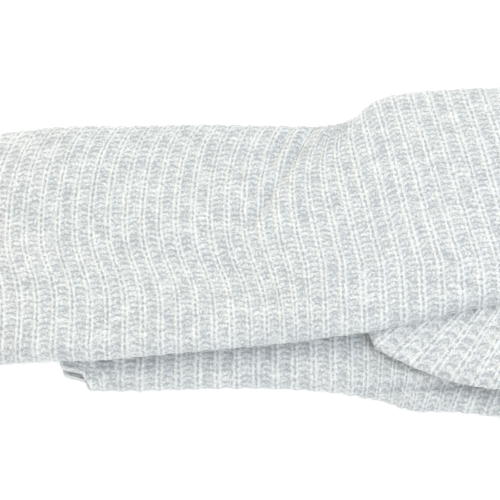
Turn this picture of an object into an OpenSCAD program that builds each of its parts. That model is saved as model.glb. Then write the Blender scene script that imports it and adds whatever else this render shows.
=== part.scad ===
// A pair of long rib-knit gloves, laid one on the other with the thumbs on the same side.
// The right glove lies palm up on the surface, and the left glove lies palm down on it.
// Each glove is a flattened knitted tube: +X runs from cuff to fingertips and +Z is up.
// The origin is on the resting surface, under the right glove's sleeve.

/* [Knitted wall] */
// Thickness of the knitted fabric in cuff, sleeve and hand
wall = 2.4; // [1.6:0.1:2.6]
// Height of a flattened sleeve or hand: both layers and the air between
loft = 11; // [10:0.5:14]
// Thickness of the knitted fabric in fingers and thumb
finger_wall = 2.2; // [1.6:0.1:2.4]
// Height of a flattened finger or thumb
finger_loft = 10; // [9:0.5:11]

/* [Cuff and sleeve] */
// Flat width of cuff and sleeve
sleeve_w = 90; // [76:1:108]
// Length of the sleeve between cuff and wrist
sleeve_len = 114; // [90:1:140]
// Length of the cuff band
cuff_len = 50; // [40:1:70]

/* [Hand] */
// Flat width of the hand
hand_w = 92; // [76:1:112]
// Length of the hand from wrist to finger roots
hand_len = 98; // [84:1:120]

/* [Fingers] */
// Length of the index finger
index_len = 68; // [50:1:85]
// Length of the middle finger
middle_len = 75; // [55:1:92]
// Length of the ring finger
ring_len = 70; // [52:1:88]
// Length of the little finger
little_len = 56; // [42:1:72]
// Gap between neighbouring fingers at their roots
finger_gap = 1.5; // [1:0.1:3]

/* [Thumb] */
// Flat width of the thumb
thumb_w = 29; // [24:1:35]
// Length of the thumb from its swing axis to the start of its round tip
thumb_len = 48; // [36:1:60]
// Distance of the thumb's swing axis from the wrist
thumb_at = 50; // [44:1:62]
// Distance of the thumb's swing axis beyond the side of the hand
thumb_out = 19; // [16:1:22]
// Angle between thumb and hand
thumb_angle = 46; // [35:1:55]

/* [Trimmings] */
// Width of the linked seam inside each tube
seam_w = 2.4; // [1.5:0.1:3]
// Height of the linked seam
seam_h = 1.8; // [1:0.1:2.5]
// Width of the folded care label
label_w = 16; // [10:1:24]
// Length of the care label
label_len = 28; // [16:1:32]
// Thickness of the folded care label
label_t = 0.6; // [0.3:0.1:1]

/* [Hidden] */
$fn = 48;
glove_gap = 0.4;                      // free air between the two gloves
fold_gap = 0.4;                       // free air between two parts of a glove that fold
swing_gap = 0.4;                      // free air between the thumb's round root and its seat
thumb_swing = 20;                     // how far the thumb turns to each side
eps = 0.01;
LEFT = 0;
RIGHT = 1;

// Where each glove lies: wrist position, and headings of cuff, sleeve and hand in degrees
wrist = [[38, 9.5], [107, -17]];
cuff_heading = [4.5, 1];
sleeve_heading = [4.5, -6];
hand_heading = [10, -25];
cuff_droop = [9, 0];                  // how far the cuff hangs down towards the surface
base_z = [loft + glove_gap, 0];       // underside of each glove
cuff_bend = sleeve_heading - cuff_heading;
wrist_bend = hand_heading - sleeve_heading;

// Fingers from index to little finger: length, sideways fan and droop of each
finger_len = [index_len, middle_len, ring_len, little_len];
finger_fan = [-3, -1, 1.5, 4];
finger_droop = [[0, 1, 3, 4], [0, 0, 0, 0]];
finger_pitch = hand_w / 4;
finger_w = finger_pitch - finger_gap;

// ---- Frames: each puts its children where that part of glove g begins ----

module hand_frame(g) {
    translate([wrist[g].x, wrist[g].y, base_z[g]]) rotate(hand_heading[g]) children();
}

module sleeve_frame(g) {
    translate([wrist[g].x, wrist[g].y, base_z[g]]) rotate(sleeve_heading[g])
        translate([-sleeve_len, 0, 0]) children();
}

// The cuff droops about the bottom edge of the sleeve's end
module cuff_frame(g) {
    sleeve_frame(g) rotate(-cuff_bend[g]) rotate([0, -cuff_droop[g], 0])
        translate([-cuff_len, 0, 0]) children();
}

module finger_frame(g, i) {
    hand_frame(g)
        translate([
            hand_len + fold_gap + finger_w / 2 * abs(tan(finger_fan[i])),
            (i - 1.5) * finger_pitch,
            (loft - finger_loft) / 2
        ])
        rotate(finger_fan[i]) rotate([0, finger_droop[g][i], 0]) children();
}

// The thumb's frame begins on its swing axis
hand_edge = -hand_w / 2;              // outermost line of the hand on the thumb's side
thumb_pos = [thumb_at, hand_edge - thumb_out];

module thumb_frame(g) {
    hand_frame(g) translate([thumb_pos.x, thumb_pos.y, (loft - finger_loft) / 2])
        rotate(-thumb_angle) children();
}

// ---- Flat tubes: a flattened tube is a slab with round long edges ----

module stadium(w, h) {
    for (side = [-1, 1]) translate([side * (w - h) / 2, h / 2]) circle(d = h);
    translate([-(w - h) / 2, 0]) square([w - h, h]);
}

// A slab with round long edges, along X from 0 to len
module slab(len, w, h) {
    rotate([90, 0, 90]) linear_extrude(len) stadium(w, h);
}

// A round pad with the same edge, for the tip or the turning root of a slab
module round_pad(w, h) {
    rotate_extrude() {
        square([(w - h) / 2, h]);
        intersection() {
            translate([(w - h) / 2, h / 2]) circle(d = h);
            square([w, h]);
        }
    }
}

// Mitres: an upright cut at the frame's origin, turned by angle, with half the fold's gap
cut_reach = 2 * max(sleeve_w, hand_w);

module cut_block() {
    translate([0, -cut_reach / 2, -loft]) cube([cut_reach, cut_reach, 4 * loft]);
}

module keep_before(angle) {
    difference() {
        children();
        rotate(angle) translate([-fold_gap / 2, 0, 0]) cut_block();
    }
}

module keep_after(angle) {
    difference() {
        children();
        rotate(angle) translate([fold_gap / 2, 0, 0]) mirror([1, 0, 0]) cut_block();
    }
}

// ---- Cuff, sleeve and hand ----

spare = 15;                           // extra length that the mitred ends are cut from

module cuff_tube(g, w, h, lift) {
    cuff_frame(g) translate([cuff_len, 0, lift]) keep_before(cuff_bend[g] / 2)
        translate([-cuff_len, 0, 0]) slab(cuff_len + spare, w, h);
}

module cuff_mouth(g) {
    cuff_frame(g) translate([-1, 0, wall]) slab(2, sleeve_w - 2 * wall, loft - 2 * wall);
}

module cuff_band(g) {
    color("#d9dcdc") difference() {
        cuff_tube(g, sleeve_w, loft, 0);
        cuff_tube(g, sleeve_w - 2 * wall, loft - 2 * wall, wall);
        cuff_mouth(g);
    }
}

module sleeve_tube(g, w, h) {
    sleeve_frame(g) keep_after(-cuff_bend[g] / 2)
        translate([sleeve_len, 0, 0]) keep_before(wrist_bend[g] / 2)
        translate([-sleeve_len - spare, 0, 0]) slab(sleeve_len + 2 * spare, w, h);
}

module sleeve(g) {
    color("#dde0e0") difference() {
        sleeve_tube(g, sleeve_w, loft);
        translate([0, 0, wall]) sleeve_tube(g, sleeve_w - 2 * wall, loft - 2 * wall);
    }
}

module hand_tube(g, w, h) {
    hand_frame(g) keep_after(-wrist_bend[g] / 2)
        translate([-spare, 0, 0]) slab(hand_len + spare, w, h);
}

// ---- Thumb gusset: the flare between wrist and thumb ----

gusset_start = 2;                     // where the flare leaves the side of the hand
web = 16;                             // how far the flare runs past the thumb's axis
seat_r = thumb_w / 2 + swing_gap;     // the thumb's round root turns in this seat
seat_rim = 90 + thumb_swing + 3;      // where the seat ends, from the thumb's own heading

function on_seat(angle) = thumb_pos + seat_r * [cos(angle), sin(angle)];

gusset_outline = [
    [gusset_start, hand_edge + loft / 2],
    on_seat(-thumb_angle - seat_rim),
    on_seat(-thumb_angle + seat_rim),
    [thumb_at + web, hand_edge + loft / 2]
];

// The corners of an anticlockwise outline, moved inwards by d
function inset(points, d) = [
    for (i = [0 : len(points) - 1])
        let (
            before = points[(i + len(points) - 1) % len(points)],
            after = points[(i + 1) % len(points)],
            u = (points[i] - before) / norm(points[i] - before),
            v = (after - points[i]) / norm(after - points[i]),
            n = [-u.y, u.x],
            m = [-v.y, v.x]
        )
        points[i] + d * (n + m) / (1 + n * m)
];

module thumb_gusset(g) {
    color("#d4d8d8") hand_frame(g) difference() {
        linear_extrude(loft) polygon(gusset_outline);
        translate([0, 0, wall]) linear_extrude(loft - 2 * wall)
            polygon(inset(gusset_outline, wall));
        translate([thumb_pos.x, thumb_pos.y, -eps]) cylinder(r = seat_r, h = loft + 2 * eps);
        slab(hand_len, hand_w, loft);
    }
}

// The hand is a tube whose side is open into the gusset and the thumb
module hand(g) {
    open_from = gusset_start + 2 * loft;
    open_to = thumb_at + web - loft / 2;
    color("#dcdfe0") difference() {
        hand_tube(g, hand_w, loft);
        translate([0, 0, wall]) hand_tube(g, hand_w - 2 * wall, loft - 2 * wall);
        hand_frame(g) translate([open_from, hand_edge - wall, wall])
            cube([open_to - open_from, 4 * wall, loft - 2 * wall]);
    }
}

// ---- Thumb and fingers ----

module thumb(g) {
    bore_w = thumb_w - 2 * finger_wall;
    bore_h = finger_loft - 2 * finger_wall;
    color("#d8dbdb") thumb_frame(g) difference() {
        union() {
            slab(thumb_len, thumb_w, finger_loft);
            round_pad(thumb_w, finger_loft);
            translate([thumb_len, 0, 0]) round_pad(thumb_w, finger_loft);
        }
        translate([-thumb_w, 0, finger_wall]) slab(thumb_w + thumb_len, bore_w, bore_h);
        translate([thumb_len, 0, finger_wall]) round_pad(bore_w, bore_h);
    }
}

// A finger is a tube open at its root, with its tip drawn closed
module finger(g, i) {
    straight = finger_len[i] - finger_w / 2;
    bore_w = finger_w - 2 * finger_wall;
    bore_h = finger_loft - 2 * finger_wall;
    color("#dadddd") finger_frame(g, i) difference() {
        union() {
            slab(straight, finger_w, finger_loft);
            translate([straight, 0, 0]) round_pad(finger_w, finger_loft);
        }
        translate([-1, 0, finger_wall]) slab(straight + 1, bore_w, bore_h);
        translate([straight, 0, finger_wall]) round_pad(bore_w, bore_h);
    }
}

// ---- Seams and care label: they lie inside the tubes, on the lower layer ----

seam_end = 4;                         // the seam stops this far from a square end of its tube
seam_fold = 12;                       // and this far from a mitred end
label_at = 6;                         // distance of the label from the cuff's mouth

// The seam's inner edge, beside the round edge of a tube of width w
function seam_y(w) = w / 2 - loft / 2 - seam_w;

module seam_bar(from, to, w) {
    color("#c6caca") translate([from, seam_y(w), wall]) cube([to - from, seam_w, seam_h]);
}

module cuff_seam(g) {
    cuff_frame(g) seam_bar(0, cuff_len - seam_end, sleeve_w);
}

module sleeve_seam(g) {
    sleeve_frame(g) seam_bar(seam_fold, sleeve_len - seam_fold, sleeve_w);
}

module hand_seam(g) {
    hand_frame(g) seam_bar(seam_fold, hand_len - seam_end, hand_w);
}

// One edge of the label is caught in the cuff's seam
module care_label(g) {
    color("#f4f4f2") cuff_frame(g) translate([label_at, seam_y(sleeve_w) - label_w, wall])
        cube([label_len, label_w, label_t]);
}

cuff_band(LEFT);  // left_cuff_band
sleeve(LEFT);  // left_sleeve
hand(LEFT);  // left_hand
thumb_gusset(LEFT);  // left_thumb_gusset
thumb(LEFT);  // left_thumb
finger(LEFT, 0);  // left_index_finger
finger(LEFT, 1);  // left_middle_finger
finger(LEFT, 2);  // left_ring_finger
finger(LEFT, 3);  // left_little_finger
cuff_seam(LEFT);  // left_cuff_seam
sleeve_seam(LEFT);  // left_sleeve_seam
hand_seam(LEFT);  // left_hand_seam
care_label(LEFT);  // left_care_label
cuff_band(RIGHT);  // right_cuff_band
sleeve(RIGHT);  // right_sleeve
hand(RIGHT);  // right_hand
thumb_gusset(RIGHT);  // right_thumb_gusset
thumb(RIGHT);  // right_thumb
finger(RIGHT, 0);  // right_index_finger
finger(RIGHT, 1);  // right_middle_finger
finger(RIGHT, 2);  // right_ring_finger
finger(RIGHT, 3);  // right_little_finger
cuff_seam(RIGHT);  // right_cuff_seam
sleeve_seam(RIGHT);  // right_sleeve_seam
hand_seam(RIGHT);  // right_hand_seam
care_label(RIGHT);  // right_care_label
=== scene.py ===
"""A pair of long rib-knit gloves in heather-grey brushed wool, one laid on the other.

Each glove is knitted sideways, so the ribs run round arm, hand and fingers. Lengths in this file are
millimetres until a mesh, a shader or a lamp takes them, and +X runs from the cuffs to the fingertips.
"""

import math

import bmesh
import bpy
import numpy as np
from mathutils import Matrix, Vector


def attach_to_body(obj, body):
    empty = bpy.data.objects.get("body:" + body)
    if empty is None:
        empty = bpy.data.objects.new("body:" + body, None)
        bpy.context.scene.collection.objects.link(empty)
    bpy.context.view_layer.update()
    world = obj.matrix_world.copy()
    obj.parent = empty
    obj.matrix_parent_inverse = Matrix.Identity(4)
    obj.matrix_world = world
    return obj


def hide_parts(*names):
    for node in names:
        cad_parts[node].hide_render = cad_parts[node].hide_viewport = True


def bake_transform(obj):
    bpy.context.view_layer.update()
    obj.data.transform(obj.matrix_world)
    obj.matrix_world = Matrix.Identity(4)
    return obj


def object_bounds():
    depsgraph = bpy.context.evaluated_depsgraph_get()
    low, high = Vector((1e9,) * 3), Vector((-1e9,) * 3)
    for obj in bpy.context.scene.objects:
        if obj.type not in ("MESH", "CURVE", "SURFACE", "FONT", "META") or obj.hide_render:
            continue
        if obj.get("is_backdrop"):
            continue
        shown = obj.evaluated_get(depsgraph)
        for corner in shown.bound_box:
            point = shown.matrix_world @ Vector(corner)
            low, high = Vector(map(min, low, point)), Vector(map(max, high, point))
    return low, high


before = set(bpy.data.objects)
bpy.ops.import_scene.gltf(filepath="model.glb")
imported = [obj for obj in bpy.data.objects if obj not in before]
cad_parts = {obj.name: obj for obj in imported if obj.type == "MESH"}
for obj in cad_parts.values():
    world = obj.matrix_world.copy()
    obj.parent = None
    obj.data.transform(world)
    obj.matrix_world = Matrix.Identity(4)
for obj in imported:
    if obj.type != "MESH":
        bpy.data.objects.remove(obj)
cad_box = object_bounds()

# ---- Right glove: cuff, sleeve and hand ----
# The under glove is one flattened tube of 1x1 rib, knitted in soft brushed wool and linked into a
# ring at the far edge. It lies palm up, and bends at the wrist away from the glove on top of it.

MM = 0.001
RIB = 6.0  # one raised and one sunk column of stitches
COURSE = 2.12  # one row of stitches
ROWS_PER_RIB = 13
POINTS_PER_COURSE = 4
RIM_ANGLE = math.radians(68)  # edges sharper than this aren't shaded smooth
WALL = 2.4
LOFT = 11.0
STITCH_LEG = 0.13  # a stitch leg's place from the middle of its rib, in ribs
LEG_SLANT = 4.0  # rows that a stitch leg climbs for each rib across
ARCH_BOW = 4.5  # how strongly the stitches of a sunk column arch
FLOOR_GAP = 0.05  # the lowest stitches stay this far over the floor
HAND_W = 92.0
HAND_LEN = 98.0


def ease(x, low, high):
    """0 below low, 1 above high, and a smooth step between."""
    k = np.clip((x - low) / (high - low), 0, 1)
    return k * k * (3 - 2 * k)


def flat_ring(t, half_w, loft):
    """Points round a flattened tube, t from 0 to 1 by length: out from the -Y edge, over the top, and
    back along the underside. Returns the place across the tube and the height over its underside."""
    r = loft / 2
    flat = 2 * (half_w - r)
    around = 2 * flat + 2 * math.pi * r
    a = np.mod(t, 1.0) * around
    quarter = math.pi * r / 2
    on_top = a - quarter
    far_arc = on_top - flat
    under = far_arc - 2 * quarter
    last_arc = under - flat
    conditions = [on_top < 0, far_arc < 0, under < 0, last_arc < 0]
    across = np.select(
        conditions,
        [
            -flat / 2 - r * np.cos(a / r),
            on_top - flat / 2,
            flat / 2 + r * np.sin(far_arc / r),
            flat / 2 - under,
        ],
        -flat / 2 - r * np.sin(last_arc / r),
    )
    height = np.select(
        conditions,
        [
            r + r * np.sin(a / r),
            loft + 0 * a,
            r + r * np.cos(far_arc / r),
            0 * a,
        ],
        r - r * np.cos(last_arc / r),
    )
    return across, height


def rib_relief(u, v, courses):
    """Height of the knit over its base, u in ribs and v in courses of all that go round: a raised
    column of two stitch legs with a row of holes between them, and a sunk column of arches."""
    turn = 2 * math.pi * v / courses
    rib = np.floor(u)
    wander = 0.03 * np.sin(round(courses / 7) * turn + 2.3 * rib)
    wander = wander + 0.02 * np.sin(round(courses / 3) * turn + 5.1 * rib)
    from_middle = np.abs(np.mod(u + wander, 1.0) - 0.5)
    column = 0.5 + 0.5 * np.cos(2 * math.pi * from_middle)
    slant = np.cos(2 * math.pi * (v - LEG_SLANT * from_middle))
    legs = np.exp(-(((from_middle - STITCH_LEG) / 0.075) ** 2)) * (1 + 0.5 * slant)
    hole = np.exp(-((from_middle / 0.05) ** 2)) * (0.6 + 0.4 * np.cos(2 * math.pi * v))
    arch = np.cos(2 * math.pi * (v + ARCH_BOW * (0.5 - from_middle) ** 2)) * (1 - column)
    return 0.45 * column + 0.25 * legs - 0.15 * hole + 0.13 * arch


def ring_grid(rows, cols):
    """A flat bmesh grid of rows by cols faces, with the row and the column of each vertex."""
    bm = bmesh.new()
    bmesh.ops.create_grid(bm, x_segments=cols, y_segments=rows, size=1)
    mesh = bpy.data.meshes.new("grid")
    bm.to_mesh(mesh)
    bm.free()
    flat = np.empty(len(mesh.vertices) * 3)
    mesh.vertices.foreach_get("co", flat)
    flat = flat.reshape(-1, 3)
    col = np.rint((flat[:, 0] + 1) / 2 * cols).astype(int)
    row = np.rint((flat[:, 1] + 1) / 2 * rows).astype(int)
    return mesh, row, col


def wrap_grid(name, points, uv, material):
    """Lays a grid over points[row, col] in millimetres, welds its edges and gives it its UV map."""
    mesh, row, col = ring_grid(points.shape[0] - 1, points.shape[1] - 1)
    mesh.name = name
    mesh.vertices.foreach_set("co", (points[row, col] * MM).ravel())
    layer = mesh.uv_layers.new(name="knit")
    corner = np.empty(len(mesh.loops), dtype=int)
    mesh.loops.foreach_get("vertex_index", corner)
    layer.data.foreach_set("uv", uv[row, col][corner].ravel())
    bm = bmesh.new()
    bm.from_mesh(mesh)
    bmesh.ops.remove_doubles(bm, verts=bm.verts, dist=1e-7)
    bmesh.ops.dissolve_degenerate(bm, edges=bm.edges, dist=1e-8)
    bmesh.ops.recalc_face_normals(bm, faces=bm.faces)
    bm.to_mesh(mesh)
    bm.free()
    mesh.polygons.foreach_set("use_smooth", [True] * len(mesh.polygons))
    mesh.set_sharp_from_angle(angle=RIM_ANGLE)
    mesh.materials.append(material)
    piece = bpy.data.objects.new(name, mesh)
    bpy.context.scene.collection.objects.link(piece)
    return piece


def outward(points):
    """Unit normals of a ring grid, whose last column repeats its first."""
    along = np.gradient(points, axis=0)
    open_ring = points[:, :-1]
    round_it = (np.roll(open_ring, -1, axis=1) - np.roll(open_ring, 1, axis=1)) / 2
    normal = np.cross(along[:, :-1], round_it)
    normal /= np.maximum(np.linalg.norm(normal, axis=2, keepdims=True), 1e-9)
    return np.concatenate([normal, normal[:, :1]], axis=1)


def shut(ring):
    """A ring pressed flat, so that its upper and lower stitches meet."""
    return (ring + ring[:, ::-1]) / 2


def knit_tube(name, surface, start, end, courses, material, ribs, closed=False, wall=WALL):
    """A tube of ribbed fabric from start to end along surface(s, t), with an inner layer a wall
    thickness inside it. A closed end is drawn together, as at a fingertip."""
    rows = max(8, int(round((end - start) / RIB * ROWS_PER_RIB)))
    t = np.linspace(0, 1, courses * POINTS_PER_COURSE + 1)[None, :]
    s = np.linspace(start, end, rows + 1)[:, None]
    base = surface(s, t)
    u = ribs(s) + 0 * t
    v = courses * t + 0 * s
    off_fold = ease(np.abs(np.sin(2 * math.pi * t)), 0, 0.4)
    relief = rib_relief(u, v, courses) * (0.45 + 0.55 * off_fold)  # pressed flatter along the side folds
    if closed:
        relief = relief * ease(end - s, 0, 3)
    outer = base + outward(base) * relief[..., None]
    outer[..., 2] = np.maximum(outer[..., 2], FLOOR_GAP)
    outer_uv = np.stack([u, v], axis=2)
    s = np.linspace(start, end - (2 * wall if closed else 0), max(4, rows // 24))[:, None]
    base = surface(s, t)
    inner = base - outward(base) * wall
    inner_uv = np.stack([ribs(s) + 0 * t, courses * t + 0 * s], axis=2)
    if closed:
        stack = [shut(outer[-1:]), outer[::-1], inner, shut(inner[-1:])]
        stack_uv = [outer_uv[-1:], outer_uv[::-1], inner_uv, inner_uv[-1:]]
    else:
        stack = [outer, inner[::-1], outer[:1]]
        stack_uv = [outer_uv, inner_uv[::-1], outer_uv[:1]]
    return wrap_grid(name, np.concatenate(stack), np.concatenate(stack_uv), material)


def linear(code):
    """An sRGB hex colour as the linear colour that a shader takes."""
    parts = [int(code[i : i + 2], 16) / 255 for i in (1, 3, 5)]
    return [c / 12.92 if c <= 0.04045 else ((c + 0.055) / 1.055) ** 2.4 for c in parts] + [1]


def add(tree, kind, *values, **named):
    """Adds a node. Values go to its inputs in order. Of the named ones, those in capitals are inputs, and
    the others are the node's settings. A node as a value is linked by its first output."""
    node = tree.nodes.new("ShaderNode" + kind)
    inputs = list(enumerate(values))
    for key, value in named.items():
        if key[0].isupper():
            inputs.append((key, value))
        else:
            setattr(node, key, value)
    for key, value in inputs:
        value = value.outputs[0] if hasattr(value, "outputs") else value
        if hasattr(value, "is_output"):
            tree.links.new(value, node.inputs[key])
        else:
            node.inputs[key].default_value = value
    return node


STRAY = 1.92  # strands wander off their path in waves this long
FUZZ = 0.8  # clumps of fibres, drawn coarser than real ones so that they show
HEATHER = 5.26  # patches of paler and darker wool


def brushed_wool(name, light, mid, dark):
    """Brushed heather wool, knitted in 1x1 rib: matt fibres that scatter light, with pale and darker
    fibres spun together, a painted highlight on the stitch legs and painted shade in the holes and
    grooves. Its UV map counts ribs and courses."""
    material = bpy.data.materials.new(name)
    material.use_nodes = True
    tree = material.node_tree
    shader = tree.nodes["Principled BSDF"]
    place = add(tree, "TexCoord").outputs["Object"]
    parts = add(tree, "SeparateXYZ", add(tree, "UVMap", uv_map="knit"))

    # Strands stray from their rib and from their row
    strand = add(tree, "TexNoise", Vector=place, Scale=1 / (STRAY * MM), Detail=3.0, Roughness=0.6)
    pull = add(tree, "SeparateXYZ", strand.outputs["Color"])
    off_rib = add(tree, "Math", pull.outputs[0], 0.5, operation="SUBTRACT")
    off_row = add(tree, "Math", pull.outputs[1], 0.5, operation="SUBTRACT")
    u = add(tree, "Math", off_rib, 0.17, parts.outputs[0], operation="MULTIPLY_ADD")
    v = add(tree, "Math", off_row, 0.7, parts.outputs[1], operation="MULTIPLY_ADD")
    across_rib = add(tree, "Math", u, operation="FRACT")
    from_middle = add(tree, "Math", across_rib, 0.5, operation="SUBTRACT")
    from_middle = add(tree, "Math", from_middle, operation="ABSOLUTE")
    turn = add(tree, "Math", v, 2 * math.pi, operation="MULTIPLY")

    # Slanted stitch legs on each side of the middle of a rib, with a painted highlight along them
    from_leg = add(tree, "Math", from_middle, STITCH_LEG, operation="SUBTRACT")
    from_leg = add(tree, "Math", from_leg, operation="ABSOLUTE")
    on_leg = add(tree, "MapRange", from_leg, 0.11, 0.03, interpolation_type="SMOOTHSTEP")
    slant = add(tree, "Math", from_middle, -LEG_SLANT * 2 * math.pi, turn, operation="MULTIPLY_ADD")
    stroke = add(tree, "Math", slant, operation="COSINE")
    stroke = add(tree, "Math", stroke, 0.34, 0.66, operation="MULTIPLY_ADD")
    leg_and_highlight = add(tree, "Math", on_leg, stroke, operation="MULTIPLY")

    # A hole between the legs of each stitch, filled with painted shade
    wave = add(tree, "Math", turn, operation="COSINE")
    wave = add(tree, "Math", wave, 0.5, 0.5, operation="MULTIPLY_ADD")
    in_line = add(tree, "MapRange", from_middle, 0.085, 0.02, interpolation_type="SMOOTHSTEP")
    in_row = add(tree, "MapRange", wave, 0.25, 0.85, interpolation_type="SMOOTHSTEP")
    hole = add(tree, "Math", in_line, in_row, operation="MULTIPLY")

    # Grooves between the arches of the sunk columns, filled with painted shade
    to_sunk = add(tree, "Math", 0.5, from_middle, operation="SUBTRACT")
    bow = add(tree, "Math", to_sunk, to_sunk, operation="MULTIPLY")
    bow = add(tree, "Math", bow, ARCH_BOW * 2 * math.pi, operation="MULTIPLY")
    arch = add(tree, "Math", turn, bow, operation="ADD")
    arch = add(tree, "Math", arch, operation="COSINE")
    arch = add(tree, "Math", arch, 0.5, 0.5, operation="MULTIPLY_ADD")
    sunk = add(tree, "MapRange", from_middle, 0.19, 0.27, interpolation_type="SMOOTHSTEP")
    between = add(tree, "MapRange", arch, 0.55, 0.0, interpolation_type="SMOOTHSTEP")
    groove_and_shade = add(tree, "Math", sunk, between, operation="MULTIPLY")

    # Colour from light to dark: a painted highlight on the legs, painted shade in the holes and
    # grooves, and the wool's own fuzz and patches of heather
    fuzz = add(tree, "TexNoise", Vector=place, Scale=1 / (FUZZ * MM), Detail=1.5, Roughness=0.8)
    patches = add(tree, "TexNoise", Vector=place, Scale=1 / (HEATHER * MM), Detail=3.0)
    fuzz, patches = fuzz.outputs["Fac"], patches.outputs["Fac"]
    fuzz_shade = add(tree, "Math", fuzz, 0.5, operation="SUBTRACT")
    patch_shade = add(tree, "Math", patches, 0.5, operation="SUBTRACT")
    shade = 0.60
    for part, weight in ((leg_and_highlight, -0.50), (hole, 0.40), (groove_and_shade, 0.32), (fuzz_shade, 2.5), (patch_shade, 0.95)):
        shade = add(tree, "Math", part, weight, shade, operation="MULTIPLY_ADD")
    ramp = add(tree, "ValToRGB", shade)
    ramp.color_ramp.elements[0].color = linear(light)
    ramp.color_ramp.elements[1].color = linear(dark)
    middle = ramp.color_ramp.elements.new(0.5)
    middle.color = linear(mid)
    tree.links.new(ramp.outputs[0], shader.inputs["Base Color"])

    # Relief that is finer than the mesh
    height = 0.0
    for part, weight in ((leg_and_highlight, 0.7), (hole, -0.6), (groove_and_shade, -0.5), (fuzz, 0.5)):
        height = add(tree, "Math", part, weight, height, operation="MULTIPLY_ADD")
    bump = add(tree, "Bump", Height=height, Distance=0.4 * MM, Strength=0.7)
    tree.links.new(bump.outputs[0], shader.inputs["Normal"])
    shader.inputs["Roughness"].default_value = 0.95
    shader.inputs["Specular IOR Level"].default_value = 0.2
    shader.inputs["Sheen Weight"].default_value = 0.9
    shader.inputs["Sheen Roughness"].default_value = 0.5
    return material


# The light colour is the legs' painted highlight. The dark one is the painted shade of holes and grooves,
# and also the darker heather
wool = brushed_wool("brushed heather wool rib", "#F8FAF9", "#E0E3E4", "#B9BDC2")


brushed = []  # every knitted surface, for the fibres that stand on it


def attach(piece, how):
    """Rides a piece on one body. Given two bodies and a zone instead, it leaves the piece where it lies, on
    no body.
    """
    if isinstance(how, str):
        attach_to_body(piece, how)
    else:
        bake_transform(piece)


def knit(name, surface, span, courses, ribs, nodes, how, flat_width, closed=False, wall=WALL):
    piece = knit_tube(name, surface, span[0], span[1], courses, wool, ribs, closed, wall)
    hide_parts(*nodes)
    attach(piece, how)
    brushed.append((name, surface, span, flat_width, how))


def fold_zone(centre, angle, reach, height):
    """The start and the end of a fold's zone, reach to each side of a fold, across a heading."""
    ahead = np.array([math.cos(angle), math.sin(angle)]) * reach
    start, end = np.array(centre) - ahead, np.array(centre) + ahead
    return tuple(np.append(start, height) * MM), tuple(np.append(end, height) * MM)


def ramp_up(x, start, slope, soft):
    """A line of a slope that begins softly at start."""
    return slope * soft * np.logaddexp(0, (x - start) / soft)


TUBE_COURSES = 90
FLAT_AROUND = TUBE_COURSES * COURSE
UNDER_BASE = 0.85  # the raised ribs stand this far out, and touch the surface
SLIM_LOFT = LOFT - 1.6  # the tube without its raised ribs
RIGHT_WRIST = 107.0
RIGHT_TURN = math.radians(-25)
RIGHT_RIB = 6.6  # the lower glove's ribs lie a little further apart
MOUTH_REACH = 8.0  # the cuff's mouth runs this far out, except at the near corner
MOUTH_CORNER = 2.5  # its near corner is set back by this much


def right_centre(s):
    """The middle line of the right glove, which bends towards -Y at the wrist."""
    return -5.6 - 1.1 * (1 - ease(s, -45, 5)) - ramp_up(s, 12, 0.105, 6) - ramp_up(s, RIGHT_WRIST, 0.361, 8)


def nose(s, end, length):
    """Share of the height that is left where a tube's end is drawn closed."""
    k = np.clip((s - (end - length)) / length, 0, 1)
    return np.sqrt(np.maximum(1 - k * k, 0))


RIGHT_END = RIGHT_WRIST + (HAND_LEN - 0.5) * math.cos(RIGHT_TURN)


def right_surface(s, t):
    """The right glove's surface, s along the arm and t once round the tube."""
    left_over = nose(s, RIGHT_END, 5)
    half = HAND_W / 2 - 0.8 - 5 * (1 - left_over) + 0 * s
    across, height = flat_ring(t, half, np.maximum(SLIM_LOFT * left_over, 1e-5))
    at_thumb = ease(s, 42, 76) * (1 - ease(s, 95, 130))
    across = across * np.where(across < 0, 1 + 0.09 * at_thumb, 1)
    lean = RIGHT_TURN * ease(s, 25, 100)  # the ribs turn with the hand
    x = s - np.sin(lean) * across
    x = x - MOUTH_REACH * ease(across, -41, -38) * (1 - ease(s, -57, -42))
    x = x + MOUTH_CORNER * (1 - ease(across, -45.2, -41.5)) * (1 - ease(s, -57, -49))
    y = right_centre(s) + np.cos(lean) * across
    z = UNDER_BASE + SLIM_LOFT * (1 - left_over) / 2 + height
    share = height / SLIM_LOFT
    in_pleat = ease(x, 30, 42) * (1 - ease(x, 75, 95))
    past_pleat = -(y + 52.6 - 0.07 * (x - 36))  # the pleat's line runs nearly along X
    pleat = np.exp(-((past_pleat / 1.3) ** 2)) * in_pleat
    lobe = ease(past_pleat, 0, 1.5) * in_pleat
    ruck = 0.35 * np.sin(x / 7.5 + y / 19)
    z = z - (3.0 * pleat + 3.2 * lobe) * share + ruck * share
    return np.stack([x, y, z], axis=2)


def right_ribs(s):
    """How many ribs lie before a place along the right glove."""
    return s / RIGHT_RIB + 0.2


for label, span, closed in (
    ("cuff", (-57.0, 14.0), False),
    ("sleeve", (14.0, 92.0), False),
    ("hand", (92.0, RIGHT_END), True),
):
    nodes = ["right_cuff_band" if label == "cuff" else "right_" + label]
    name = "right_knit_" + label
    knit(name, right_surface, span, TUBE_COURSES, right_ribs, nodes, "right_glove", FLAT_AROUND, closed)

# ---- Left glove: cuff, sleeve and hand ----
# The glove on top lies palm down. Its sleeve is skewed and slightly ruckled, with a fold where the
# hand begins, and its cuff hangs down past the end of the glove below.

LEFT_BASE = 12.0
LEFT_START = -125.5
LEFT_WRIST = np.array([38.0, 9.5])
LEFT_TURN = math.radians(10)
CUFF_DROP = 8.4  # the cuff hangs this far down past the lower glove's end
LEFT_HAND_RIB = 6.8  # the ribs' spacing on the upper hand
LEFT_END = LEFT_WRIST[0] + (HAND_LEN - 0.5) * math.cos(LEFT_TURN)


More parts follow.
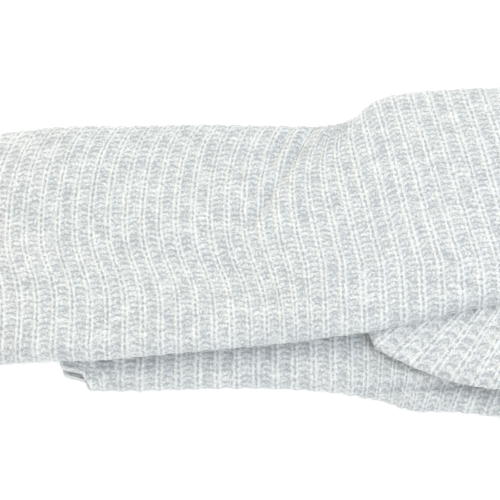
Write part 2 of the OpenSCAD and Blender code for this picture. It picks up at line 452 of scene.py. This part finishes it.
def left_far_edge(s):
    """Y of the left glove's far side fold, which steps out where the hand begins."""
    shoulder = 15.8 / (1 + np.exp(-(s - 50.5) / 5.2))
    return 48.9 - 0.6 * ease(-s, 60, 130) + shoulder + ramp_up(s, 60, 0.06, 4)


def left_near_edge(s):
    """Y of the left glove's near side fold."""
    straight = -40 + 0.1 * np.maximum(s, -62)
    return straight + ramp_up(s, 36, 0.16, 4) - ramp_up(s, 76, 0.13, 6)


def left_sway(s, y):
    """How far each rib is pulled along the glove: bowed on the sleeve, straighter on the hand."""
    far, near = left_far_edge(s), left_near_edge(s)
    on_sleeve = 10.8 * np.exp(-(far - y) / 12.6) + 9 / (1 + np.exp((y + 12) / 5.7))
    on_hand = -0.17 * (np.maximum(y, -12) - 9)
    fold = 10 + 0.6 * np.maximum(y - 9, 0)
    k = ease(s, fold - 17, fold + 17)
    sway = on_sleeve * (1 - k) + on_hand * k
    middle = (far + near) / 2
    k = ease(s, 90, 120)
    sway = sway * (1 - k) - math.tan(LEFT_TURN) * (y - middle) * k
    k = ease(-s, 90, 114)
    return sway * (1 - k) - 0.078 * (y - middle) * k


def left_surface(s, t):
    """The left glove's surface, s along the arm and t once round the tube."""
    left_over = nose(s, LEFT_END, 5)
    far, near = left_far_edge(s), left_near_edge(s)
    half = (far - near) / 2 - 0.8 - 5 * (1 - left_over)
    across, height = flat_ring(t, half, np.maximum(SLIM_LOFT * left_over, 1e-5))
    y = (far + near) / 2 + across
    x = s + left_sway(s, y)
    share = height / SLIM_LOFT
    z = LEFT_BASE + SLIM_LOFT * (1 - left_over) / 2 + height
    z = z - CUFF_DROP * ease(-s, 66, 134) - 2.0 * ease(y, 44, 72)
    valley = np.exp(-(((y - 7 + 0.26 * (x + 93)) / 9) ** 2)) * (1 - ease(x, 0, 30))
    past_crease = (y - 1.8 * (x - 3.6) - 10) * 0.49
    pinch = 2.3 * np.exp(-((past_crease / 2.4) ** 2)) + 1.3 * np.exp(-(((past_crease - 6.5) / 2.0) ** 2))
    pinch = pinch * ease(y, -2, 9) * (1 - ease(y, 42, 58))
    ruck = 0.45 * np.sin(x / 9.0 + y / 13) + 0.3 * np.sin(y / 6.3 - x / 21)
    z = z + (ruck - 2.0 * valley - pinch) * share
    z = z + 1.1 * (1 - share) * np.exp(-(((x - 35) / 13) ** 2))  # room for the wrist's fold
    return np.stack([x, y, z], axis=2)


def left_ribs(s):
    """How many ribs lie before a place along the left glove. They are pulled further apart on the hand."""
    return s / RIB - ramp_up(s, 17, 1 / RIB - 1 / LEFT_HAND_RIB, 5)


CUFF_JOIN = -57.0
WRIST_JOIN = 24.0
FOLD = 9.0  # each fold's zone reaches this far to each side of the fold
FOLD_TOP = 20.0  # the height that the folds' zones are given at
CUFF_FOLD_AT = (-75.6, 0.6)
cuff_zone = fold_zone(CUFF_FOLD_AT, math.radians(180 + 4.5), FOLD, FOLD_TOP)
wrist_zone = fold_zone(LEFT_WRIST, math.radians(7.25), FOLD, FOLD_TOP)
for label, span, how, closed in (
    ("cuff", (LEFT_START, CUFF_JOIN), ("left_sleeve_body", "left_cuff_body", *cuff_zone), False),
    ("sleeve", (CUFF_JOIN, WRIST_JOIN), ("left_sleeve_body", "left_hand_body", *wrist_zone), False),
    ("hand", (WRIST_JOIN, LEFT_END), ("left_sleeve_body", "left_hand_body", *wrist_zone), True),
):
    nodes = ["left_cuff_band" if label == "cuff" else "left_" + label]
    name = "left_knit_" + label
    knit(name, left_surface, span, TUBE_COURSES, left_ribs, nodes, how, FLAT_AROUND, closed)

# ---- Thumbs and their gussets ----
# Each thumb is a narrow tube of the same rib. Its fabric widens into a gusset at the side of the
# hand, and its tip is drawn closed.

THUMB_W = 29.0
THUMB_LEN = 48.0
THUMB_AT = (50.0, -65.0)
THUMB_TURN = math.radians(-46)
THUMB_COURSES = 30
GUSSET_FROM = -50.0
THUMB_JOIN = -15.0
GUSSET_RIB = 5.1  # the gusset's ribs are drawn closer
THUMB_LOFT = 8.2
TIP_GAP = 0.9  # thumbs and fingers end this far inside their CAD tips
SLIM_WALL = 2.2


def turned(point, angle, origin=(0.0, 0.0)):
    """A plan point turned about zero and moved to an origin."""
    c, s = math.cos(angle), math.sin(angle)
    return np.array([origin[0] + point[0] * c - point[1] * s, origin[1] + point[0] * s + point[1] * c])


def thumb_surface(root, heading, base, loft, spread):
    """A thumb's surface from the gusset to the tip, s from its swing axis outwards. The gusset's near
    edge bulges by a spread."""
    ahead = np.array([math.cos(heading), math.sin(heading)])
    aside = np.array([-ahead[1], ahead[0]])

    def surface(s, t):
        slim = THUMB_W / 2 - 0.8
        tip = np.clip((s - THUMB_LEN) / slim, 0, 1)
        round_off = np.sqrt(np.maximum(1 - tip * tip, 0))
        before = np.maximum(-s, 0)
        low = slim * round_off + 0.2 * before + 4.0 * ease(before, 0, 22)
        low = low + spread * ease(before, 14, 34) - 14 * ease(before, 39, 58)
        high = slim * round_off + np.minimum(1.9 * before, 18)
        half = (low + high) / 2
        height_at = loft * (0.34 + 0.66 * ease(s, -34, 4))
        thick = height_at * (0.35 + 0.65 * round_off) * ease(round_off, -0.2, 0.3)
        thick = np.minimum(thick, 1.99 * half)
        across, height = flat_ring(t, np.maximum(half, 1e-4), np.maximum(thick, 1e-5))
        offset = across + (high - low) / 2
        along = s + offset * (0.30 * ease(-s, 12, 50) - 0.10 * ease(-s, -4, 10) * (1 - ease(-s, 12, 50)))
        x = root[0] + ahead[0] * along + aside[0] * offset
        y = root[1] + ahead[1] * along + aside[1] * offset
        z = base + (height_at - thick) / 2 + height + 0.3 * np.sin(s / 8) * height / loft
        return np.stack([x, y, z], axis=2)

    return surface


def thumb_ribs(s):
    """How many ribs lie before a place along the gusset and the thumb."""
    return s / RIB - ramp_up(-s, 15, 1 / GUSSET_RIB - 1 / RIB, 3) + 0.3


for side, wrist, hand_turn, base, spread, hand_body in (
    ("right", (RIGHT_WRIST, -17.0), RIGHT_TURN, 1.2, 0.0, "right_glove"),
    ("left", tuple(LEFT_WRIST), LEFT_TURN, 12.2, 2.2, "left_hand_body"),
):
    root = turned(THUMB_AT, hand_turn, wrist)
    heading = hand_turn + THUMB_TURN
    surface = thumb_surface(root, heading, base, THUMB_LOFT, spread)
    knit(
        side + "_knit_gusset",
        surface,
        (GUSSET_FROM, THUMB_JOIN),
        THUMB_COURSES,
        thumb_ribs,
        [side + "_thumb_gusset"],
        hand_body,
        2 * (THUMB_W + 18),
        wall=1.4,
    )
    knit(
        side + "_knit_thumb",
        surface,
        (THUMB_JOIN, THUMB_LEN + THUMB_W / 2 - TIP_GAP),
        THUMB_COURSES,
        thumb_ribs,
        [side + "_thumb"],
        (hand_body, side + "_thumb_body", *fold_zone(root, heading, 12, base)),
        2 * THUMB_W,
        closed=True,
        wall=SLIM_WALL,
    )

# ---- Fingers ----
# Four tubes of rib on each hand, picked up along the end of the palm and drawn closed at the tips.
# They are slimmer at the root, where the knit of the hand closes round them.

FINGER_COURSES = 24
PITCH = HAND_W / 4
FINGER_W = PITCH - 1.5
FINGER_SLIM = 8.4
FINGER_FROM = -9.0
BENDS = (-1.0, 1.2, 0.6, -1.4)  # how far each fingertip lies to the side
# Each finger's length, its fan-out and its droop in degrees
FINGERS = (("index", 68, -3, 0), ("middle", 75, -1, 1), ("ring", 70, 1.5, 3), ("little", 56, 4, 4))


def finger_surface(root, heading, base, length, droop, bend):
    """A finger's surface from inside the palm to the tip, with a slight bend sideways."""
    ahead = np.array([math.cos(heading), math.sin(heading)])
    aside = np.array([-ahead[1], ahead[0]])

    def surface(s, t):
        slim = FINGER_W / 2 - 0.7
        tip = np.clip((s - (length - FINGER_W / 2)) / slim, 0, 1)
        round_off = np.sqrt(np.maximum(1 - tip * tip, 0))
        half = slim * round_off * (1 - 0.06 * ease(-s, -14, 0))
        thick = FINGER_SLIM * (1 - 0.3 * ease(-s, -8, 6)) * (0.35 + 0.65 * round_off)
        thick = np.minimum(thick * ease(round_off, -0.2, 0.3), 1.99 * half)
        across, height = flat_ring(t, np.maximum(half, 1e-4), np.maximum(thick, 1e-5))
        offset = across + bend * (np.maximum(s, 0) / length) ** 2
        x = root[0] + ahead[0] * s + aside[0] * offset
        y = root[1] + ahead[1] * s + aside[1] * offset
        sag = math.tan(math.radians(droop)) * np.maximum(s, 0)
        z = base + (FINGER_SLIM - thick) / 2 + height - sag + 0.25 * np.sin(s / 7) * height / 8
        return np.stack([x, y, z], axis=2)

    return surface


def finger_ribs(s):
    """How many ribs lie before a place along a finger."""
    return s / RIB + 0.1


for side, wrist, hand_turn, base, hand_body in (
    ("right", (RIGHT_WRIST, -17.0), RIGHT_TURN, 1.3, "right_glove"),
    ("left", tuple(LEFT_WRIST), LEFT_TURN, 12.5, "left_hand_body"),
):
    for i, (label, length, fan, droop) in enumerate(FINGERS):
        heading = hand_turn + math.radians(fan)
        root = turned((HAND_LEN + 0.4, (i - 1.5) * PITCH), hand_turn, wrist)
        droop = droop if side == "left" else 0
        knit(
            f"{side}_knit_{label}",
            finger_surface(root, heading, base, length, droop, BENDS[i]),
            (FINGER_FROM, length - TIP_GAP),
            FINGER_COURSES,
            finger_ribs,
            [f"{side}_{label}_finger"],
            (hand_body, f"{side}_{label}_body", *fold_zone(root, heading, 6, base)),
            2 * FINGER_W,
            closed=True,
            wall=SLIM_WALL,
        )

# ---- Seams and care labels ----
# Inside each tube a linked seam runs along the lower layer, a row of chain stitches. A folded blank
# ribbon is caught in each cuff's seam.


YARN_CLOUD = 2.5  # the yarn's shade changes over this length


def plain_yarn(name, colour, sheen, ridge):
    """Twisted yarn or woven ribbon: matt, with a soft sheen, fine ridges so many millimetres apart and a
    little change of shade."""
    material = bpy.data.materials.new(name)
    material.use_nodes = True
    tree = material.node_tree
    shader = tree.nodes["Principled BSDF"]
    place = add(tree, "TexCoord").outputs["Object"]
    per_metre = 2 * math.pi / (20 * ridge * MM)  # a wave texture has 20 radians for each unit of its scale
    weave = add(tree, "TexWave", Vector=place, Scale=per_metre, Distortion=1.5, Detail=2.0)
    cloud = add(tree, "TexNoise", Vector=place, Scale=1 / (YARN_CLOUD * MM))
    weave, cloud = weave.outputs["Fac"], cloud.outputs["Fac"]
    mixed = add(tree, "Math", weave, 0.4, cloud, operation="MULTIPLY_ADD")
    ramp = add(tree, "ValToRGB", mixed)
    ramp.color_ramp.elements[0].color = [0.72 * c for c in linear(colour)[:3]] + [1]
    ramp.color_ramp.elements[1].color = linear(colour)
    tree.links.new(ramp.outputs[0], shader.inputs["Base Color"])
    bump = add(tree, "Bump", Height=mixed, Distance=0.2 * MM, Strength=0.7)
    tree.links.new(bump.outputs[0], shader.inputs["Normal"])
    shader.inputs["Roughness"].default_value = 0.8
    shader.inputs["Sheen Weight"].default_value = sheen
    return material


linking_yarn = plain_yarn("linking yarn", "#D2D6D6", 0.3, 0.349)
satin = plain_yarn("satin ribbon", "#F2F2EE", 0.6, 0.196)


def node_frame(node):
    """Centre of a bar-like CAD node, its axes with the longest first, and its spans along them."""
    mesh = bpy.data.objects[node].data
    points = np.array([v.co for v in mesh.vertices]) / MM
    centre = (points.max(axis=0) + points.min(axis=0)) / 2
    axes = np.linalg.svd(points - centre, full_matrices=False)[2]
    spans = [np.ptp((points - centre) @ axis) for axis in axes]
    return centre, axes, spans


def bar_piece(node, material, body, outline, rows, cols):
    """Builds a closed tube along a CAD bar from an outline(along, angle) of offsets, and replaces it."""
    centre, axes, spans = node_frame(node)
    axes[0] *= np.sign(axes[0][0])
    up = axes[2] * np.sign(axes[2][2])
    side = np.cross(up, axes[0])
    along = np.linspace(-0.5, 0.5, rows + 1)[:, None]
    angle = np.linspace(0, 2 * math.pi, cols + 1)[None, :]
    angle = np.where(angle > 2 * math.pi - 1e-9, 0, angle)
    across, lift = outline(along * spans[0], angle, spans[1], spans[2])
    ends = np.where(np.abs(along) > 0.4999, 0, 1)
    points = (
        centre
        + axes[0] * (along * spans[0] + 0 * angle)[..., None]
        + side * (across * ends)[..., None]
        + up * (lift * ends)[..., None]
    )
    uv = np.stack([along + 0 * angle, angle + 0 * along], axis=2)
    piece = wrap_grid(node.replace("seam", "linked_seam").replace("label", "ribbon"), points, uv, material)
    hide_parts(node)
    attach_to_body(piece, body)
    return piece


def chain_stitches(along, angle, width, height):
    """A plait of two strands, one stitch every 2.1 mm."""
    beat = np.cos(2 * math.pi * along / COURSE + 2 * np.cos(angle))
    size = 0.84 + 0.14 * beat
    return width / 2 * np.cos(angle) * size, height / 2 * np.sin(angle) * size


def soft_ribbon(along, angle, width, height):
    """A flat ribbon folded double, with a slight wave along it."""
    side, top = np.cos(angle), np.sin(angle)
    across = width / 2 * np.sign(side) * np.abs(side) ** 0.3
    wave = 0.35 * np.sin(along / 4.5)
    return across, height / 2 * np.sign(top) * np.abs(top) ** 0.5 + wave


for side, cuff_body, sleeve_body, hand_body in (
    ("right", "right_glove", "right_glove", "right_glove"),
    ("left", "left_cuff_body", "left_sleeve_body", "left_hand_body"),
):
    for part, body in (("cuff", cuff_body), ("sleeve", sleeve_body), ("hand", hand_body)):
        bar_piece(f"{side}_{part}_seam", linking_yarn, body, chain_stitches, 200, 12)
    bar_piece(f"{side}_care_label", satin, cuff_body, soft_ribbon, 28, 40)

# ---- Brushed fibres ----
# Loose fibres stand on the brushed wool and soften its outline. They are fine closed hairs, and none
# grows where one glove lies on the other or on the floor.

rng = np.random.default_rng(7)
HAIRS_PER_MM2 = 0.3
ON_FOLD = 0.4  # share of the fibres that stand along the side folds
HAIR_R = 0.06
HAIR_SIDES = 3
HAIR_RINGS = 4
HAIR_LIMIT = 3.0  # the longest fibre
NO_HAIR_BELOW = 1.5  # none grows so near the floor
fibre = plain_yarn("loose wool fibre", "#F4F6F5", 0.5, 1.047)


def under_left_glove(x, y):
    """Whether the left glove's cuff, sleeve or hand lies over a plan point."""
    return (x > LEFT_START - 6) & (x < 215) & (y > left_near_edge(x) - 2) & (y < 80)


def hairs(name, surface, span, flat_width, how):
    """Fibres on one knitted surface, one for each few square millimetres."""
    count = int((span[1] - span[0]) * flat_width * HAIRS_PER_MM2)
    s = rng.uniform(span[0] + 1, span[1] - 3, (count, 1))
    t = rng.uniform(0, 1, (count, 1))
    on_fold = rng.integers(0, 2, (count, 1)) / 2 + rng.normal(0, 0.035, (count, 1))
    t = np.where(rng.uniform(0, 1, (count, 1)) < ON_FOLD, np.mod(on_fold, 1), t)
    root = surface(s, t)[:, 0]
    ahead = surface(s + 0.2, t)[:, 0] - root
    round_it = surface(s, t + 0.002)[:, 0] - root
    normal = np.cross(ahead, round_it)
    normal /= np.maximum(np.linalg.norm(normal, axis=1, keepdims=True), 1e-9)
    keep = (normal[:, 2] > -0.55) & (root[:, 2] > NO_HAIR_BELOW)
    if name.startswith("right"):
        keep &= ~under_left_glove(root[:, 0], root[:, 1])
    root, normal = root[keep], normal[keep]
    count = len(root)
    lie = rng.normal(0, 1, (count, 3))
    lie -= normal * (lie * normal).sum(axis=1, keepdims=True)
    lie /= np.maximum(np.linalg.norm(lie, axis=1, keepdims=True), 1e-9)
    length = np.minimum(rng.gamma(4.0, 0.42, (count, 1)), HAIR_LIMIT)
    rise = length * rng.uniform(0.15, 0.5, (count, 1))
    curl = rng.normal(0, 0.25, (count, 3)) * length
    step_at = np.linspace(0, 1, HAIR_RINGS)[None, :, None]
    line = root[:, None] + normal[:, None] * (0.3 + rise[:, None] * step_at * (1.6 - step_at * 0.9))
    line = line + lie[:, None] * length[:, None] * step_at + curl[:, None] * step_at**2
    line[..., 2] = np.maximum(line[..., 2], 0.3)
    side = np.cross(lie, normal)
    turn = np.arange(HAIR_SIDES) * 2 * math.pi / HAIR_SIDES
    ring = side[:, None] * np.cos(turn)[None, :, None] + normal[:, None] * np.sin(turn)[None, :, None]
    thin = HAIR_R * (1 - 0.75 * step_at)
    points = line[:, :, None] + ring[:, None] * thin[:, :, None]
    first = np.arange(count)[:, None, None] * HAIR_RINGS * HAIR_SIDES
    row = np.arange(HAIR_RINGS - 1)[None, :, None] * HAIR_SIDES
    col = np.arange(HAIR_SIDES)[None, None, :]
    after = (col + 1) % HAIR_SIDES
    sides = np.stack([row + col, row + after, row + HAIR_SIDES + after, row + HAIR_SIDES + col], axis=3)
    sides = (sides + first[..., None]).reshape(-1, 4)
    cap = np.arange(HAIR_SIDES)[None, :] + np.arange(count)[:, None] * HAIR_RINGS * HAIR_SIDES
    caps = np.concatenate([cap[:, ::-1], cap + (HAIR_RINGS - 1) * HAIR_SIDES])
    mesh = bpy.data.meshes.new(name)
    mesh.from_pydata((points.reshape(-1, 3) * MM).tolist(), [], sides.tolist() + caps.tolist())
    mesh.materials.append(fibre)
    bm = bmesh.new()
    bm.from_mesh(mesh)
    bmesh.ops.recalc_face_normals(bm, faces=bm.faces)
    bm.to_mesh(mesh)
    bm.free()
    piece = bpy.data.objects.new(name.replace("knit", "fibres"), mesh)
    bpy.context.scene.collection.objects.link(piece)
    attach(piece, how)


for name, surface, span, flat_width, how in brushed:
    hairs(name, surface, span, flat_width, how)

# ---- Floor, lights and camera ----
# White seamless paper under a pale, even sky, with a warm soft box above the far left and a weaker
# cool one above the near right. The paper glows a little, so that it stays white under the gloves.

PAPER_REACH = 20000.0
floor_mesh = bpy.data.meshes.new("paper")
bm = bmesh.new()
bmesh.ops.create_grid(bm, x_segments=1, y_segments=1, size=PAPER_REACH * MM)
bm.to_mesh(floor_mesh)
bm.free()
paper = bpy.data.materials.new("lit white paper")
paper.use_nodes = True
paper_shader = paper.node_tree.nodes["Principled BSDF"]
paper_shader.inputs["Base Color"].default_value = linear("#C8C8C8")
paper_shader.inputs["Roughness"].default_value = 1.0
paper_shader.inputs["Specular IOR Level"].default_value = 0.0
paper_shader.inputs["Emission Color"].default_value = linear("#FFFFFF")
paper_shader.inputs["Emission Strength"].default_value = 0.65
floor_mesh.materials.append(paper)
floor = bpy.data.objects.new("floor", floor_mesh)
bpy.context.scene.collection.objects.link(floor)
floor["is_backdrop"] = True

world = bpy.data.worlds.new("sky")
bpy.context.scene.world = world
world.use_nodes = True
sky = world.node_tree.nodes["Background"]
sky.inputs["Color"].default_value = (1, 0.988, 0.974, 1)
sky.inputs["Strength"].default_value = 0.745


def aim(obj, at, target):
    """Puts an object at a place in millimetres and points it at a target."""
    offset = np.array(target, float) - np.array(at, float)
    direction = Vector(offset)
    obj.location = [c * MM for c in at]
    obj.rotation_euler = direction.to_track_quat("-Z", "Y").to_euler()


def soft_light(name, at, target, size, watts, colour):
    """A square soft box of a size and a power, aimed at a target."""
    light = bpy.data.lights.new(name, "AREA")
    light.size = size * MM
    light.energy = watts
    light.color = colour
    lamp = bpy.data.objects.new(name, light)
    bpy.context.scene.collection.objects.link(lamp)
    aim(lamp, at, target)


soft_light("warm_key", (-420, 420, 560), (-60, 0, 0), 800, 3.0, (1, 0.955, 0.81))
soft_light("cool_fill", (480, -200, 480), (80, 0, 0), 600, 1.75, (0.74, 0.90, 1))

VIEW_ANGLE = math.radians(62)
VIEW_DISTANCE = 425.0
VIEW_CENTRE = (0.0, 0.0, 10.0)
lens = bpy.data.cameras.new("camera")
lens.lens = 85
lens.sensor_width = 36
camera = bpy.data.objects.new("camera", lens)
bpy.context.scene.collection.objects.link(camera)
aim(
    camera,
    (
        VIEW_CENTRE[0],
        VIEW_CENTRE[1] - VIEW_DISTANCE * math.cos(VIEW_ANGLE),
        VIEW_CENTRE[2] + VIEW_DISTANCE * math.sin(VIEW_ANGLE),
    ),
    VIEW_CENTRE,
)
bpy.context.scene.camera = camera
bpy.context.scene.view_settings.view_transform = "Standard"


def plain(value):
    """Any mix of vectors, arrays and lists as plain lists of numbers."""
    return [plain(v) for v in value] if hasattr(value, "__len__") else float(value)


{"cad": plain(cad_box), "visual": plain(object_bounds())}
